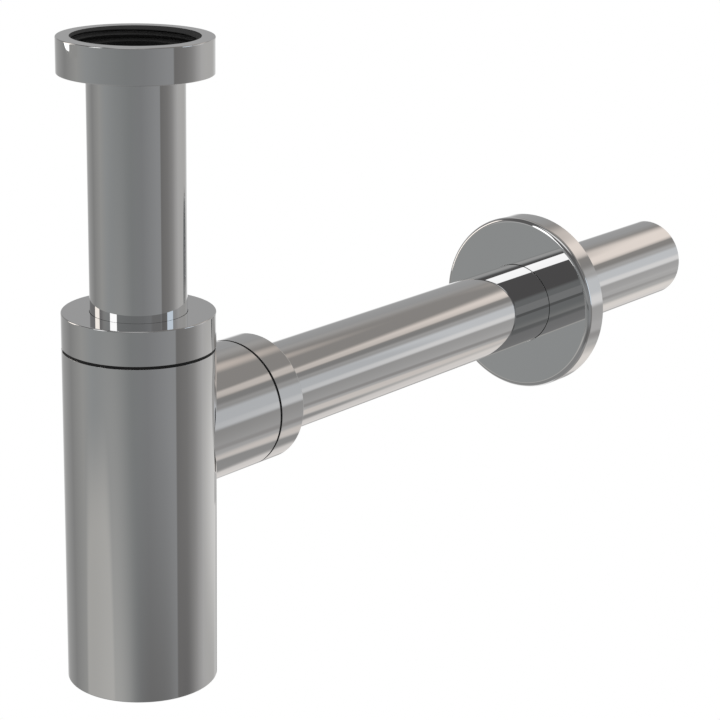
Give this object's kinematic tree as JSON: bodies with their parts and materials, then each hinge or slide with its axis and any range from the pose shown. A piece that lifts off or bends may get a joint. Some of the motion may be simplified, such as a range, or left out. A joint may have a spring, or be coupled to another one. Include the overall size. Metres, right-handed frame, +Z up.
{
  "type": "basin trap",
  "caption": "Round bottle trap for a washbasin with compression joints, a dip tube, a straight wall pipe and a round wall flange.",
  "frame": {"origin": "centre of the inlet washer's top face, where the basin waste's end rests in the inlet nut", "axes": "+Z up along the inlet axis, out of the inlet nut; +Y along the wall pipe, into the wall; +X to the right"},
  "size_m": [0.07, 0.3472, 0.2188],
  "materials": {
    "polished_chrome": "polished chrome plating on brass",
    "turned_brass": "turned, unplated",
    "black_rubber": "matt moulded rubber",
    "slip_plastic": "matt white plastic"
  },
  "bodies": {
    "inlet_nut": {"inlet_nut": "polished_chrome"},
    "inlet_slip_ring": {"inlet_slip_ring": "slip_plastic"},
    "inlet_tube": {"inlet_tube": "polished_chrome", "inlet_washer": "black_rubber"},
    "bottle": {"bottle_shell": "polished_chrome", "bottle_base": "polished_chrome", "outlet_branch": "polished_chrome", "bottle_neck": "turned_brass", "outlet_neck": "turned_brass", "cap_cone_seal": "black_rubber", "cap_slip_ring": "slip_plastic", "outlet_cone_seal": "black_rubber", "outlet_slip_ring": "slip_plastic"},
    "cap_seam_ring": {"cap_seam_ring": "black_rubber"},
    "cap_nut": {"cap_nut": "polished_chrome"},
    "outlet_seam_ring": {"outlet_seam_ring": "black_rubber"},
    "outlet_nut": {"outlet_nut": "polished_chrome"},
    "outlet_pipe": {"outlet_pipe": "polished_chrome"},
    "wall_flange": {"wall_flange": "polished_chrome", "flange_grip_ring": "black_rubber"}
  },
  "joints": [
    {"name": "inlet_swivel", "type": "hinge", "parent": "inlet_nut", "child": "inlet_slip_ring", "pos_m": [0, 0, 0], "axis": [0, 0, 1], "continuous": true},
    {"name": "inlet_tube_lift", "type": "slide", "parent": "inlet_slip_ring", "child": "inlet_tube", "axis": [0, 0, 1], "range_m": [0, 0.055]},
    {"name": "height_adjust", "type": "slide", "parent": "inlet_tube", "child": "bottle", "axis": [0, 0, 1], "range_m": [-0.05, 0.012]},
    {"name": "cap_nut_turn", "type": "hinge", "parent": "bottle", "child": "cap_seam_ring", "pos_m": [0, 0, -0.0988], "axis": [0, 0, 1], "range_deg": [0, 1920]},
    {"name": "cap_nut_lift", "type": "slide", "parent": "cap_seam_ring", "child": "cap_nut", "axis": [0, 0, 1], "range_m": [0, 0.008]},
    {"name": "outlet_nut_turn", "type": "hinge", "parent": "bottle", "child": "outlet_seam_ring", "pos_m": [0, 0.0458, -0.1296], "axis": [0, 1, 0], "range_deg": [0, 1920]},
    {"name": "outlet_nut_draw", "type": "slide", "parent": "outlet_seam_ring", "child": "outlet_nut", "axis": [0, 1, 0], "range_m": [0, 0.008]},
    {"name": "outlet_pipe_slide", "type": "slide", "parent": "bottle", "child": "outlet_pipe", "axis": [0, 1, 0], "range_m": [-0.008, 0.016]},
    {"name": "wall_flange_slide", "type": "slide", "parent": "outlet_pipe", "child": "wall_flange", "axis": [0, 1, 0], "range_m": [-0.14, 0.08]}
  ],
  "couplings": [
    {"joint": "cap_nut_lift", "follows": "cap_nut_turn", "m_per_rad": 0.00023873},
    {"joint": "outlet_nut_draw", "follows": "outlet_nut_turn", "m_per_rad": 0.00023873}
  ]
}
